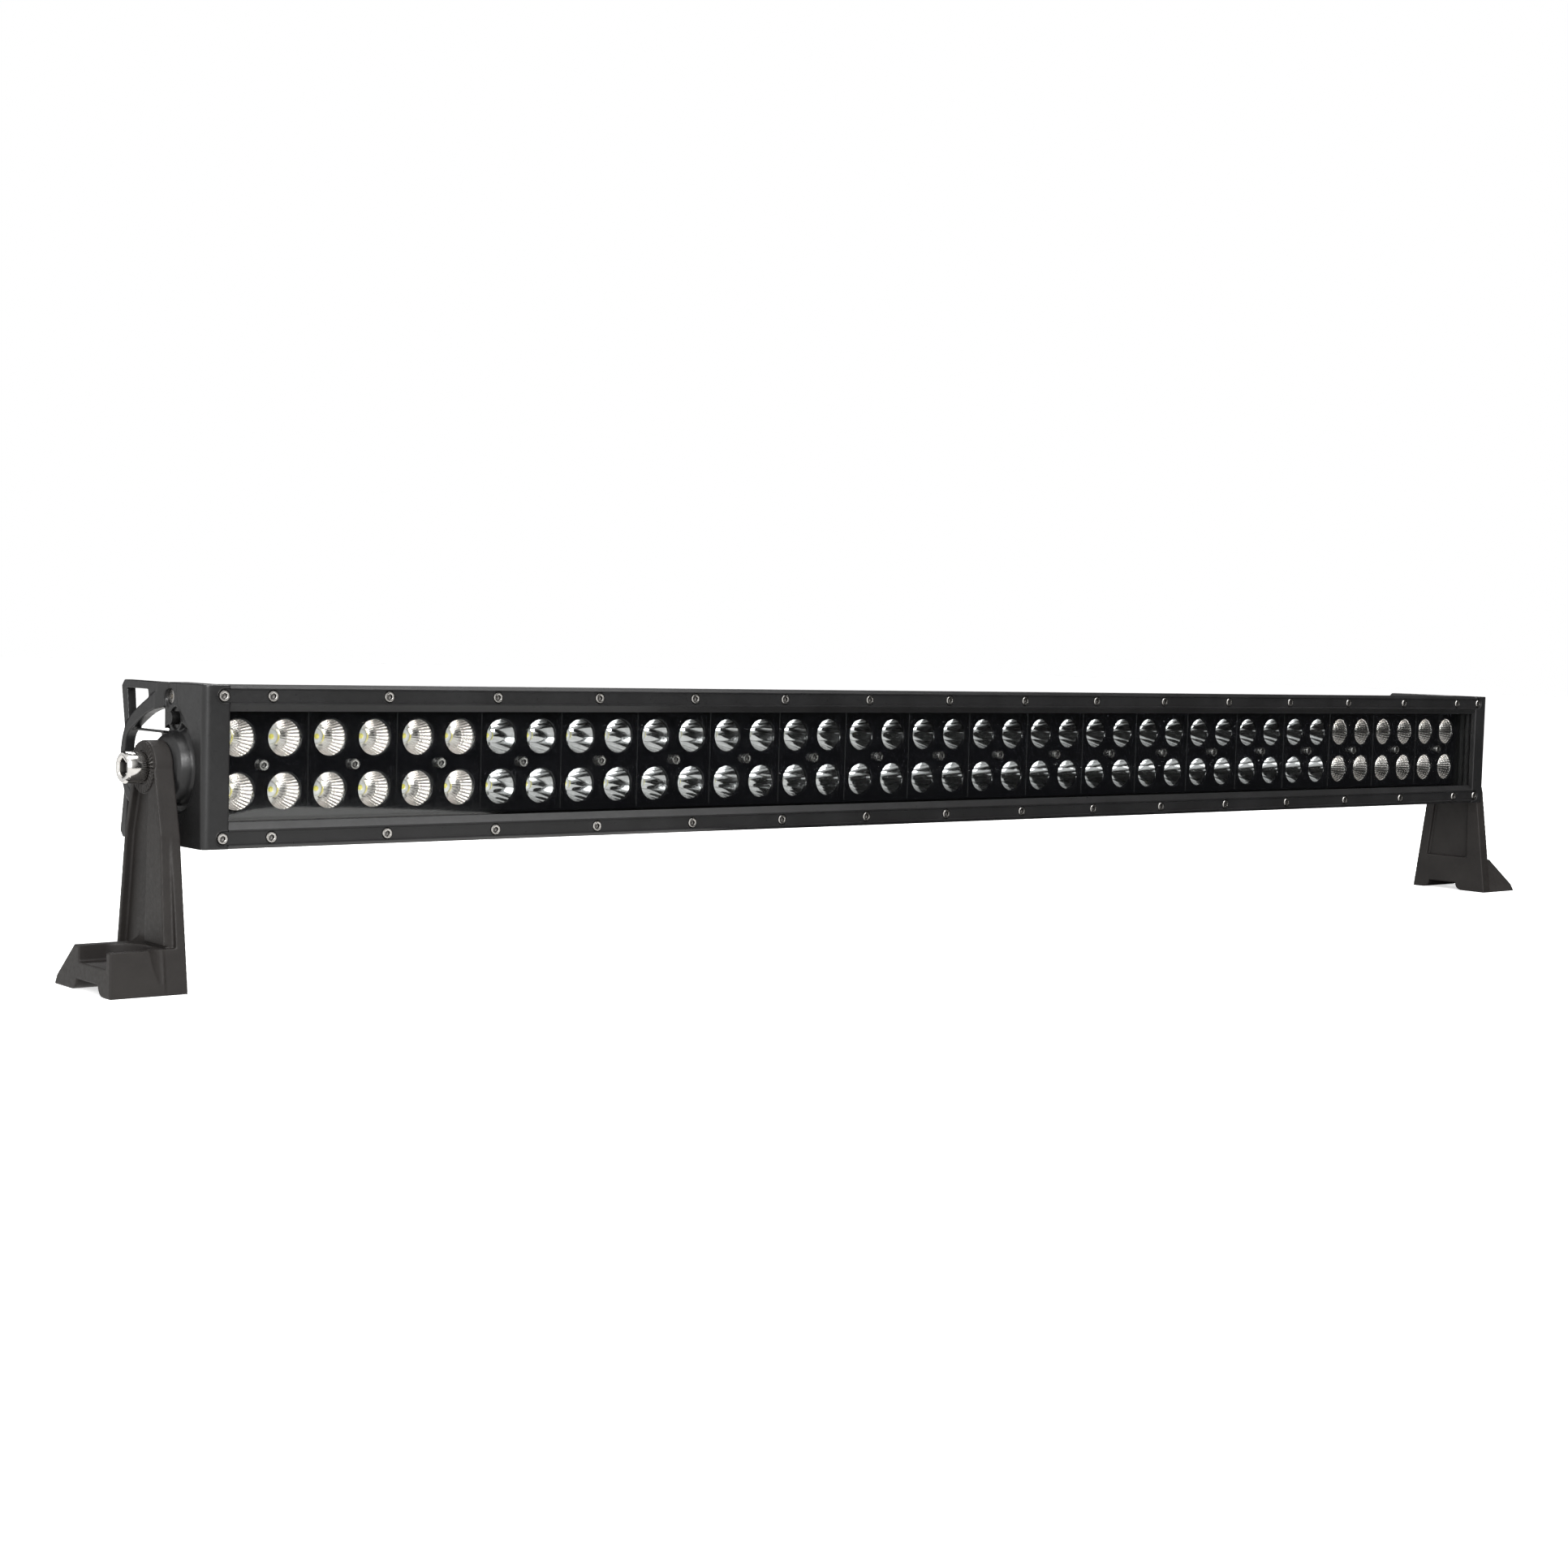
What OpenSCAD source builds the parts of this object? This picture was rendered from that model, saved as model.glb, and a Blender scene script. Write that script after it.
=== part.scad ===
// Double-row LED light bar on two tilting foot brackets.
// +X runs along the bar, -Y is the lit front, +Z is up. The origin is on the
// surface under the feet, at the middle of the bounding box.

/* [Bar] */
// Length of the bar over the two end caps
bar_l = 1054; // [1040:1:1070]
// Height of the end caps and rails
bar_h = 80; // [78:1:84]
// Depth of the end caps, from the front face to the back of the guard ring
bar_d = 88; // [86:1:96]
// Height of the tilt axis above the surface under the feet
axis_h = 108; // [104:1:120]
// Depth of the tilt axis behind the front face
axis_d = 32; // [32:1:34]
// Height of the bar's middle above the tilt axis
bar_rise = 1.3; // [1:0.1:1.6]

/* [Lamps] */
// Number of 2 x 2 reflector modules
modules = 20; // [20:1:20]
// Distance between lamp columns
column_pitch = 25.65; // [25.5:0.05:25.7]
// Distance between the two lamp rows
row_pitch = 26.7; // [26:0.1:27]
// Diameter of a reflector cup at the face plate
cup_dia = 18.4; // [16:0.2:19]

/* [Screws] */
// Screws through each long rail into the housing
rail_screws = 16; // [8:2:16]
// Distance between the rail screws
rail_screw_pitch = 65.3; // [60:0.1:65.4]
// Height of the rail screws above and below the middle of the bar
rail_screw_z = 34.7; // [34:0.1:35]
// Diameter of a small screw's head
head_dia = 5.5; // [5:0.1:6]

/* [Brackets] */
// Thickness of a bracket's post
post_t = 10.4; // [9:0.1:12]
// Length of a foot, outward from the inner face of the post
foot_l = 40; // [36:1:44]
// Height of a foot
foot_h = 22; // [20:1:24]
// Width of a foot along the bar's depth
foot_w = 64; // [60:1:64]
// Diameter of the tilt bolts
bolt_dia = 10; // [8:1:10]
// Diameter of the bolt hole in the floor of a foot
foot_hole_dia = 9; // [8:0.5:11]

/* [Hidden] */
$fn = 48;
cut = 1;
gap = 0.1;

front_y = -bar_d / 2;
mid_h = axis_h + bar_rise;
half_h = bar_h / 2;
cap_t = 14;
cap_in = bar_l / 2 - cap_t;
cap_out = bar_l / 2;
cap_lip = 4;
cap_block_d = 45;
seat_x = cap_in + 4;
gasket_t = 1;
housing_x = seat_x - gasket_t;

lens_d = 4;
lens_t = 3;
lens_h = 59.4;
window_h = 54;
seal_t = 1.5;
seat_d = lens_d + lens_t + seal_t;

plate_d = 16.5;
plate_t = 1.6;
board_d = 31.9;
board_t = 1.6;
spreader_d = board_d + board_t;
cup_end_d = board_d - 0.6;
cup_floor_r = 3.6;
cup_wall = 1.1;
cup_steps = 7;
module_l = 2 * column_pitch;
post_r = 3.4;

spreader_t = 5;
fin_root_d = spreader_d + spreader_t;
fin_tip_d = 60;
fin_pitch = 6.4;
fin_t = 1.8;
wall_z = half_h - 1.5;
chamber_z = 13;
chamber_d = fin_root_d + 12;
chamber_wall = 2;
screw_r = 1.5;
clear_r = 1.6;
head_h = 3;
head_top_d = 0.02;
hex_r = 1.45;
rail_screw_l = 9.5;
corner_screw_l = 5.2;
corner_x = cap_in + 3;
boss_in_d = 15;

side_screw_d = 39;
side_screw_z = 33;
side_clear_r = 2.1;
vent_d = 33.5;
vent_z = 22.6;
vent_r = 5.4;
vent_bore = 1.2;
recess_depth = 1.2;
dish_r = 22.4;
dish_depth = 3.6;
cover_end_d = chamber_d + 2.5;

guard_in = cap_out - 3;
guard_out = cap_out + 2.5;
guard_rise_d = 38;
web_z = 15.25;
web_t = 1.2;
web_end_d = 79.2;
horn_t = 4;
horn_w = 5;

gland_x = 480;
gland_pocket = 26;
gland_bore_r = 3.4;
board_count = 5;
modules_per_board = modules / board_count;

bracket_x = cap_out + 6.3;
boss_r = 13.2;
boss_t = post_t - 1;
web_plate_t = 5;
rim_h = 3.9;
teeth = 36;
head_r = 7.9;
bolt_head_h = 10;
bolt_hex_r = 4.6;
washer_r = 7.4;
washer_t = 1;
ring_teeth_in = 8.3;
ring_teeth_out = 12.6;
blend_r = 5;
groove_x = 14;
groove_r = 8.2;
tray_w = 31;
tray_depth = 8;
tray_a = 12;
tray_x = 11.5 + tray_w / 2;
foot_hole_x = 26;
arch_h = 5.5;
arch_w = 24;
arch_a = 6;
foot_top = foot_h - axis_h;
half_w = foot_w / 2;
shoulder_a = 21.5;
shoulder_z = -32;

driver_x0 = gland_x - 230;
driver_x1 = gland_x - 50;
driver_board_d = chamber_d - chamber_wall - 2.6;

shell_black = [0.10, 0.10, 0.11];
cast_black = [0.16, 0.16, 0.16];
steel = [0.78, 0.78, 0.78];

function digits2(i) = str(i < 10 ? "0" : "", i);
function module_name(i) = str("reflector_", digits2(i));
function module_x(i) = (i - (modules + 1) / 2) * module_l;
function board_name(i) = str("led_board_", i);

// ---- helpers -------------------------------------------------------------

// Places a shape drawn from the front face (y) and from the middle of the bar (z).
module in_bar() {
    translate([0, front_y, mid_h]) children();
}

// Places a shape drawn along X on the tilt axis.
module on_axis() {
    translate([0, axis_d, -bar_rise]) rotate([0, 90, 0]) children();
}

// Extrudes an outline drawn in depth and height along X, from x0 to x1.
module along_x(x0, x1) {
    translate([x0, 0, 0]) rotate([90, 0, 90]) linear_extrude(x1 - x0) children();
}

// A round bar along +X from x0 to x1 at depth d and height z.
module rod_x(x0, x1, d, z, r) {
    translate([x0, d, z]) rotate([0, 90, 0]) cylinder(r = r, h = x1 - x0);
}

// A round bar along +Y from depth d0 to d1.
module rod_y(x, z, d0, d1, r) {
    translate([x, d0, z]) rotate([-90, 0, 0]) cylinder(r = r, h = d1 - d0);
}

// A box between two corners, in x, depth and height.
module block(lo, hi) {
    translate(lo) cube(hi - lo);
}

// The same shape at both ends of the bar, as mirror images.
module at_end(side) {
    mirror([side < 0 ? 1 : 0, 0, 0]) children();
}

// Socket screw that points along +Y, with the top of its head at depth d.
module socket_screw(x, z, d, length) {
    difference() {
        union() {
            rod_y(x, z, d, d + head_h, head_dia / 2);
            rod_y(x, z, d + head_h - 0.01, d + head_h + length, screw_r);
        }
        translate([x, d - cut, z]) rotate([-90, 0, 0])
            cylinder(r = hex_r, h = cut + 1.6, $fn = 6);
    }
}

module at_rail_screws() {
    for (i = [0:rail_screws - 1])
        translate([(i - (rail_screws - 1) / 2) * rail_screw_pitch, 0, 0]) children();
}

module at_corner_screws() {
    for (side = [-1, 1]) translate([side * corner_x, 0, 0]) children();
}

// Points of a smooth curve through p, with n steps between two given points.
function curve(p, n) = concat([for (i = [0:len(p) - 2], k = [0:n - 1])
    between(p[max(i - 1, 0)], p[i], p[i + 1], p[min(i + 2, len(p) - 1)], k / n)],
    [p[len(p) - 1]]);

function between(a, b, c, d, t) = 0.5 * (2 * b + (c - a) * t
    + (2 * a - 5 * b + 4 * c - d) * t * t + (3 * b - 3 * c + d - a) * t * t * t);

// A line that ends at height 0, followed by its mirror image below.
function and_below(p) = concat(p, [for (i = [len(p) - 2:-1:0]) [p[i][0], -p[i][1]]]);

function reversed(p) = [for (i = [len(p) - 1:-1:0]) p[i]];

module at_modules() {
    for (i = [1:modules]) translate([module_x(i), 0, 0]) children();
}

// ---- housing and rails -----------------------------------------------------

module side_wall_outline() {
    polygon([
        [seat_d, window_h / 2 + 0.4], [boss_in_d, window_h / 2 + 3],
        [boss_in_d, wall_z - 3], [spreader_d, wall_z - 3],
        [fin_root_d, wall_z - 3], [fin_tip_d, wall_z - fin_t],
        [fin_tip_d, wall_z], [seat_d, wall_z]
    ]);
}

module housing_outline() {
    for (m = [0, 1]) mirror([0, m]) side_wall_outline();
    translate([spreader_d, -wall_z]) square([spreader_t, 2 * wall_z]);
    for (i = [-5:5]) {
        root = abs(i) < 2 ? chamber_d : fin_root_d;
        translate([root - 0.5, i * fin_pitch - fin_t / 2])
            square([fin_tip_d - root + 0.5, fin_t]);
    }
    difference() {
        translate([fin_root_d - 0.5, -chamber_z])
            square([chamber_d - fin_root_d + 0.5, 2 * chamber_z]);
        translate([fin_root_d, chamber_wall - chamber_z])
            square([chamber_d - fin_root_d - chamber_wall, 2 * (chamber_z - chamber_wall)]);
    }
    for (m = [-1, 1]) translate([side_screw_d, m * side_screw_z]) circle(r = 4.4);
}

module housing() {
    color(shell_black) in_bar() difference() {
        along_x(-housing_x, housing_x) housing_outline();
        for (m = [-1, 1]) {
            at_rail_screws() rod_y(0, m * rail_screw_z, seat_d - cut, boss_in_d - 1, clear_r);
            for (side = [-1, 1])
                at_end(side) rod_x(housing_x - 16, housing_x + cut, side_screw_d,
                                   m * side_screw_z, 2.05);
        }
        at_modules() rod_y(0, 0, spreader_d - cut, spreader_d + 4, clear_r);
        rod_y(gland_x, 0, chamber_d - chamber_wall - cut, chamber_d + cut, 6);
        rod_y(gland_x - 30, 0, spreader_d - cut, fin_root_d + cut, 4);
        block([gland_x - gland_pocket / 2, chamber_d, -gland_pocket / 2],
              [gland_x + gland_pocket / 2, fin_tip_d + cut, gland_pocket / 2]);
    }
}

// Cross-section of the upper rail: screw strip, ridge and inner bevel.
module rail_outline() {
    polygon([
        [boss_in_d - 1, half_h], [1.8, half_h], [0, half_h - 1.6], [0, half_h - 2.1],
        [0.7, half_h - 2.4], [0.7, half_h - 8.4], [0, half_h - 8.7], [0, half_h - 9.5],
        [lens_d - 0.6, window_h / 2], [lens_d - gap / 2, window_h / 2],
        [lens_d - gap / 2, lens_h / 2 + gap], [seat_d - gap / 2, lens_h / 2 + gap],
        [seat_d - gap / 2, wall_z + gap / 2], [boss_in_d - 1, wall_z + gap / 2]
    ]);
}

module rail() {
    in_bar() difference() {
        union() {
            along_x(-cap_in, cap_in) rail_outline();
            for (side = [-1, 1]) at_end(side) rail_tongue(3.3, 0.7, 3.7);
        }
        at_rail_screws() rail_screw_hole(seat_d + cut);
        at_corner_screws() rail_screw_hole(lens_d + 0.5);
    }
}

// Round-ended tongue that carries a rail's last screw onto the end cap.
module rail_tongue(r, d0, d1) {
    rod_y(corner_x, rail_screw_z, d0, d1, r);
    block([cap_in - 0.5, d0, rail_screw_z - r], [corner_x, d1, rail_screw_z + r]);
}

module rail_screw_hole(depth) {
    rod_y(0, rail_screw_z, -cut, head_top_d + head_h + 0.03, head_dia / 2 + 0.35);
    rod_y(0, rail_screw_z, 0, depth, clear_r);
}

module top_rail() {
    color(shell_black) rail();
}

module bottom_rail() {
    color(shell_black) translate([0, 0, 2 * mid_h]) mirror([0, 0, 1]) rail();
}

module rail_screw_set(m) {
    color(steel) in_bar() {
        at_rail_screws() socket_screw(0, m * rail_screw_z, head_top_d, rail_screw_l);
        at_corner_screws() socket_screw(0, m * rail_screw_z, head_top_d, corner_screw_l);
    }
}

module top_rail_screws() { rail_screw_set(1); }

module bottom_rail_screws() { rail_screw_set(-1); }

// ---- optics ------------------------------------------------------------------

module lens() {
    color([0.85, 0.9, 0.92, 0.35]) in_bar()
        block([-housing_x, lens_d, -lens_h / 2], [housing_x, lens_d + lens_t, lens_h / 2]);
}

module lens_gasket() {
    d0 = lens_d + lens_t;
    color([0.05, 0.05, 0.05]) in_bar() difference() {
        block([-housing_x, d0, -lens_h / 2], [housing_x, d0 + seal_t, lens_h / 2]);
        block([-cap_in - 0.2, d0 - cut, -window_h / 2 - 0.4],
              [cap_in + 0.2, d0 + seal_t + cut, window_h / 2 + 0.4]);
    }
}

// Radius of a cup at height t, from 0 at its floor to 1 at its mouth.
function cup_r(t) = sqrt(pow(cup_floor_r, 2) + (pow(cup_dia / 2, 2) - pow(cup_floor_r, 2)) * t);

// Half section of a cup, as radius and height, grown by the wall when w > 0.
function cup_profile(w) = [for (i = [0:cup_steps])
    [cup_r(i / cup_steps) + w, (cup_end_d - plate_d) * i / cup_steps]];

module cup_form(w, over) {
    profile = cup_profile(w);
    translate([0, cup_end_d, 0]) rotate([90, 0, 0]) rotate_extrude()
        polygon(concat([[0, -over]], [[profile[0][0], -over]], profile,
            [[profile[cup_steps][0], cup_end_d - plate_d + over]],
            [[0, cup_end_d - plate_d + over]]));
}

module at_cups() {
    for (sx = [-1, 1], sz = [-1, 1])
        translate([sx * column_pitch / 2, 0, sz * row_pitch / 2]) children();
}

// 2 x 2 reflector module: face plate, four cups and the screw post between them.
module reflector(i) {
    half_l = module_l / 2 - gap;
    color([0.55, 0.56, 0.58]) in_bar() translate([module_x(i), 0, 0]) difference() {
        union() {
            block([-half_l, plate_d, -window_h / 2], [half_l, plate_d + plate_t, window_h / 2]);
            at_cups() intersection() {
                cup_form(cup_wall, 0);
                block([-12, plate_d + 0.2, -12], [12, cup_end_d, 12]);
            }
            rod_y(0, 0, plate_d, cup_end_d, post_r);
        }
        at_cups() cup_form(0, cut);
        rod_y(0, 0, plate_d - cut, cup_end_d + cut, clear_r);
    }
}

module led_board(i) {
    length = modules_per_board * module_l;
    x0 = (i - (board_count + 1) / 2) * length;
    first = (i - 1) * modules_per_board;
    color([0.85, 0.86, 0.84]) in_bar() difference() {
        block([x0 - length / 2 + gap, board_d, -window_h / 2],
              [x0 + length / 2 - gap, board_d + board_t, window_h / 2]);
        for (k = [1:modules_per_board])
            rod_y(module_x(first + k), 0, board_d - cut, spreader_d + cut, clear_r);
    }
}

// Emitter package: a square base and a round yellow dome.
module led_emitters() {
    base = 3.45;
    color([0.95, 0.80, 0.15]) in_bar() at_modules() at_cups() {
        block([-base / 2, board_d - 0.8, -base / 2], [base / 2, board_d, base / 2]);
        rod_y(0, 0, board_d - 1.9, board_d - 0.79, 1.4);
    }
}

module reflector_screws() {
    color(steel) in_bar() at_modules()
        socket_screw(0, 0, plate_d - head_h, spreader_d + 3.5 - plate_d);
}

// ---- end caps ------------------------------------------------------------------

// Outline of the lower, rear part of the cap's side, behind the curved step line.
// It is drawn from the tilt axis in height.
module rear_recess_outline() {
    top = half_h + 3;
    line = curve([[30.5, top], [29.2, 32], [26.5, 29], [17.6, 19.6], [10.7, 9], [8.5, 0]], 3);
    polygon(concat(and_below(line), [[cap_block_d + cut, -top], [cap_block_d + cut, top]]));
}

// Round boss that carries the tilt bolt, with a soft shoulder and flat crown.
module bolt_boss() {
    crown = bracket_x - gap;
    on_axis() rotate_extrude()
        polygon([
            [0, cap_out - 4.4], [20.2, cap_out - 4.4], [18.6, cap_out - 2.8],
            [17.6, cap_out - 1.5], [17, cap_out + 1], [16.3, cap_out + 3.4], [15, cap_out + 5],
            [13.6, crown - 0.5], [12.6, crown], [0, crown]
        ]);
}

// Arch-shaped arm behind the cap, seen along the bar.
module guard_outline() {
    outer = curve([[43, 36.9], [55.7, 32.2], [71.5, 25.1], [80, 19.5], [84.5, 13.5], [87, 7],
                   [bar_d, 0]], 3);
    inner = curve([[43, 27.6], [58, 24], [71.3, 18], [77.7, 14.5], [81.5, 9.6], [83.3, 0]], 3);
    polygon(concat(and_below(outer), reversed(and_below(inner))));
}

// Arm, corner horns and webs that guard the back of the cap. Their outer faces rise
// gently from the cap's recessed side.
module guard() {
    difference() {
        union() {
            along_x(guard_in, guard_out) guard_outline();
            for (m = [0, 1]) mirror([0, 0, m]) {
                along_x(guard_in, guard_out - 0.6) horn_outline();
                block([guard_in, cap_block_d - 1, web_z - web_t / 2],
                      [guard_out - 2.2, web_end_d, web_z + web_t / 2]);
            }
        }
        translate([0, 0, -half_h - cut]) linear_extrude(2 * (half_h + cut)) polygon([
            [cap_out - recess_depth, guard_rise_d], [cap_out + 6, guard_rise_d],
            [cap_out + 6, guard_rise_d + 22]
        ]);
    }
}

// Top strip that runs back from the cap, and its turned-down end.
module horn_outline() {
    polygon([
        [cap_block_d - 5, half_h - horn_t], [bar_d - horn_w - 1, half_h - horn_t],
        [bar_d - horn_w - 3.4, 17.8], [bar_d - 4.4, 13.2], [bar_d, half_h - 3],
        [bar_d - 3, half_h], [cap_block_d - 5, half_h]
    ]);
    polygon([
        [cap_block_d - 3.5, half_h - 1], [cap_block_d - 3.5, half_h - 7], [56.5, 30.5],
        [58.5, half_h - 1]
    ]);
}

module end_cap() {
    corner_r = 3.4;
    pad_r = 7.6;
    in_bar() difference() {
        union() {
            difference() {
                union() {
                    block([cap_in, 0, -half_h], [cap_out - corner_r, cap_block_d, half_h]);
                    block([cap_in, corner_r, -half_h], [cap_out, cap_block_d, half_h]);
                    translate([cap_out - corner_r, corner_r, -half_h])
                        cylinder(r = corner_r, h = 2 * half_h);
                }
                translate([0, 0, -bar_rise])
                    along_x(cap_out - recess_depth, cap_out + cut) rear_recess_outline();
                difference() {
                    on_axis() translate([0, 0, cap_out - dish_depth])
                        cylinder(r = dish_r, h = dish_depth + cut);
                    rod_x(cap_out - dish_depth - cut, cap_out + 2 * cut, vent_d, vent_z, pad_r);
                }
            }
            bolt_boss();
            guard();
            block([cap_in + 1, cap_block_d - 1, -chamber_z - 1.2],
                  [guard_in - 0.3, cover_end_d, chamber_z + 1.2]);
        }
        block([cap_in - cut, cap_lip - 0.05, -wall_z - 0.05],
              [seat_x, cover_end_d + cut, wall_z + 0.05]);
        for (m = [0, 1]) mirror([0, 0, m]) {
            rail_tongue(3.45, -cut, 3.75);
            rod_y(corner_x, rail_screw_z, 0, head_h + corner_screw_l + 0.5, clear_r);
            rod_x(seat_x - cut, cap_out + cut, side_screw_d, side_screw_z, side_clear_r);
            rod_x(cap_out - 5, cap_out + cut, side_screw_d, side_screw_z, 3.8);
        }
        rod_x(cap_out - 7, cap_out + cut, vent_d, vent_z, vent_r + 0.05);
        on_axis() translate([0, 0, seat_x + 2])
            cylinder(r = bolt_dia / 2 + 0.05, h = bracket_x + cut - seat_x);
        rod_x(seat_x - cut, cap_out, vent_d, vent_z, vent_bore);
    }
}

module end_cap_left() { color(shell_black) at_end(-1) end_cap(); }

module end_cap_right() { color(shell_black) at_end(1) end_cap(); }

module end_cap_gasket(side) {
    color([0.05, 0.05, 0.05]) in_bar() at_end(side) difference() {
        union() {
            block([housing_x, seat_d, -wall_z + 0.3], [seat_x, cap_block_d - 0.5, wall_z - 0.3]);
            block([housing_x, cap_block_d - 1, -chamber_z], [seat_x, cover_end_d - 1, chamber_z]);
        }
        block([housing_x - cut, boss_in_d, 3 - wall_z], [seat_x + cut, spreader_d, wall_z - 3]);
        block([housing_x - cut, fin_root_d, -chamber_z + 2],
              [seat_x + cut, chamber_d - chamber_wall, chamber_z - 2]);
        for (m = [-1, 1])
            rod_x(housing_x - cut, seat_x + cut, side_screw_d, m * side_screw_z, side_clear_r);
        rod_x(housing_x - cut, seat_x + cut, vent_d, vent_z, vent_bore);
    }
}

module end_cap_gasket_left() { end_cap_gasket(-1); }

module end_cap_gasket_right() { end_cap_gasket(1); }

// Button-head screws that pull each cap onto the end of the housing.
module end_cap_screws() {
    color(steel) in_bar() for (side = [-1, 1], m = [-1, 1]) at_end(side) difference() {
        union() {
            rod_x(housing_x - 14, cap_out - 4, side_screw_d, m * side_screw_z, 2);
            rod_x(cap_out - 5, cap_out - 2.2, side_screw_d, m * side_screw_z, 3.5);
        }
        translate([cap_out - 4, side_screw_d, m * side_screw_z]) rotate([0, 90, 0])
            cylinder(r = hex_r, h = 3, $fn = 6);
    }
}

// Pressure vent: a black plug in a round recess, with a stub at its middle.
module vent_plug(side) {
    color([0.03, 0.03, 0.03]) in_bar() at_end(side) {
        rod_x(cap_out - 7, cap_out - 2.4, vent_d, vent_z, vent_r);
        rod_x(cap_out - 2.5, cap_out + 1.8, vent_d, vent_z, 3.3);
    }
}

module vent_plug_left() { vent_plug(-1); }

module vent_plug_right() { vent_plug(1); }

// ---- electrics -----------------------------------------------------------------

module driver_board() {
    color([0.10, 0.35, 0.18]) in_bar()
        block([driver_x0, driver_board_d, -10.5], [driver_x1, driver_board_d + 1.6, 10.5]);
}

// Chokes and capacitors, standing on the driver board.
module driver_components() {
    color([0.25, 0.25, 0.28]) in_bar() for (i = [0:4]) {
        x = driver_x0 + 22 + i * 34;
        rod_y(x, 0, driver_board_d - 6.5, driver_board_d, 5);
        block([x + 10, driver_board_d - 4, -6], [x + 22, driver_board_d, 6]);
    }
}

module cable_gland() {
    color([0.04, 0.04, 0.04]) in_bar() difference() {
        union() {
            rod_y(gland_x, 0, chamber_d - 6, chamber_d + 1, 5.9);
            translate([gland_x, chamber_d, 0]) rotate([-90, 0, 0])
                cylinder(r = 8.6, h = 4, $fn = 6);
            rod_y(gland_x, 0, chamber_d + 3.9, chamber_d + 9, 5.2);
        }
        rod_y(gland_x, 0, chamber_d - 7, chamber_d + 10, gland_bore_r);
    }
}

module gland_nut() {
    color([0.06, 0.06, 0.06]) in_bar() difference() {
        union() {
            translate([gland_x, chamber_d + 4.05, 0]) rotate([-90, 0, 0])
                cylinder(r = 8.2, h = 5, $fn = 6);
            translate([gland_x, chamber_d + 9, 0]) rotate([-90, 0, 0])
                cylinder(r1 = 7, r2 = 4.6, h = 4);
        }
        rod_y(gland_x, 0, chamber_d, chamber_d + 9.1, 5.25);
        rod_y(gland_x, 0, chamber_d, chamber_d + 14, gland_bore_r);
    }
}

// ---- brackets ----------------------------------------------------------------------
// A bracket is drawn from the tilt axis on its inner face: x is outward from the
// bar, y runs along the foot's width and z is up. Both ends use the same casting.

// Distance of the post's slanted edge from its middle, at height z under the axis.
function post_edge(z) =
    shoulder_a + (half_w - shoulder_a) * (shoulder_z - z) / (shoulder_z + axis_h);

// Side outline of the post, from the round head down to the foot.
module post_outline() {
    circle(r = boss_r);
    polygon([
        [-boss_r, 0], [-shoulder_a, shoulder_z], [-half_w, -axis_h],
        [half_w, -axis_h], [shoulder_a, shoulder_z], [boss_r, 0]
    ]);
}

// Thick side of the post, which stands out to the full thickness.
module thick_side_outline() {
    polygon([
        [5, -6], [5, foot_top + 1], [half_w - 5.8, foot_top + 1],
        [shoulder_a, shoulder_z], [boss_r, 0], [boss_r - 4, 0]
    ]);
}

// Narrow rim along the other side of the post.
module rim_outline() {
    polygon([
        [-boss_r, 0], [-shoulder_a, shoulder_z], [-half_w, -axis_h],
        [2.7 - half_w, -axis_h], [2.7 - shoulder_a, shoulder_z], [-10.5, -4]
    ]);
}

// The foot. Under the post its upright side follows the post; further out it is square.
module foot_outline(top_a) {
    polygon([
        [half_w, -axis_h], [top_a, foot_top], [-9, foot_top],
        [3 - half_w, 5 - axis_h], [-half_w, -axis_h]
    ]);
}

// Hollow between the post's edge and the foot's upright side, dying out above the sole.
module foot_groove() {
    translate([groove_x, half_w + 5, 3 - axis_h])
        cylinder(r1 = 4.6, r2 = groove_r, h = foot_top + cut - 3 + axis_h);
}

// Arch under the foot that leaves a pad along each side.
module arch_outline() {
    translate([arch_a, -axis_h]) {
        translate([-arch_w / 2, -cut]) square([arch_w, arch_h + cut]);
        for (m = [0, 1]) mirror([m, 0]) difference() {
            translate([arch_w / 2 - 0.01, -cut]) square([arch_h, arch_h + cut]);
            translate([arch_w / 2 + arch_h, arch_h]) circle(r = arch_h);
        }
    }
}

// Radial ridges around the bolt hole on the outer face.
module tooth_ring() {
    difference() {
        translate([boss_t - 0.01, 0, 0]) rotate([0, 90, 0])
            cylinder(r = ring_teeth_out, h = 0.41);
        translate([boss_t - cut, 0, 0]) rotate([0, 90, 0])
            cylinder(r = ring_teeth_in, h = 3);
    }
    for (i = [0:teeth - 1]) rotate([i * 360 / teeth, 0, 0])
        translate([boss_t - 0.01, -0.45, ring_teeth_in + 0.3])
            cube([post_t - boss_t + 0.01, 0.9, ring_teeth_out - ring_teeth_in - 0.6]);
}

module foot_tray() {
    z0 = foot_top - tray_depth;
    translate([tray_x, tray_a, z0]) cylinder(r = tray_w / 2, h = tray_depth + cut);
    translate([tray_x, tray_a - tray_w / 2, z0]) cube([foot_l, tray_w, tray_depth + cut]);
}

module foot_hole() {
    translate([foot_hole_x, tray_a, -axis_h - cut]) cylinder(r = foot_hole_dia / 2, h = foot_h);
}

// Quarter-round blend between the post's outer face and the top of the foot.
module foot_blend() {
    difference() {
        translate([web_plate_t - 0.1, 20 - half_w, foot_top - 0.1])
            cube([blend_r, foot_w - 26, blend_r]);
        translate([web_plate_t + blend_r, -half_w, foot_top + blend_r]) rotate([-90, 0, 0])
            cylinder(r = blend_r, h = foot_w);
    }
}

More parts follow.
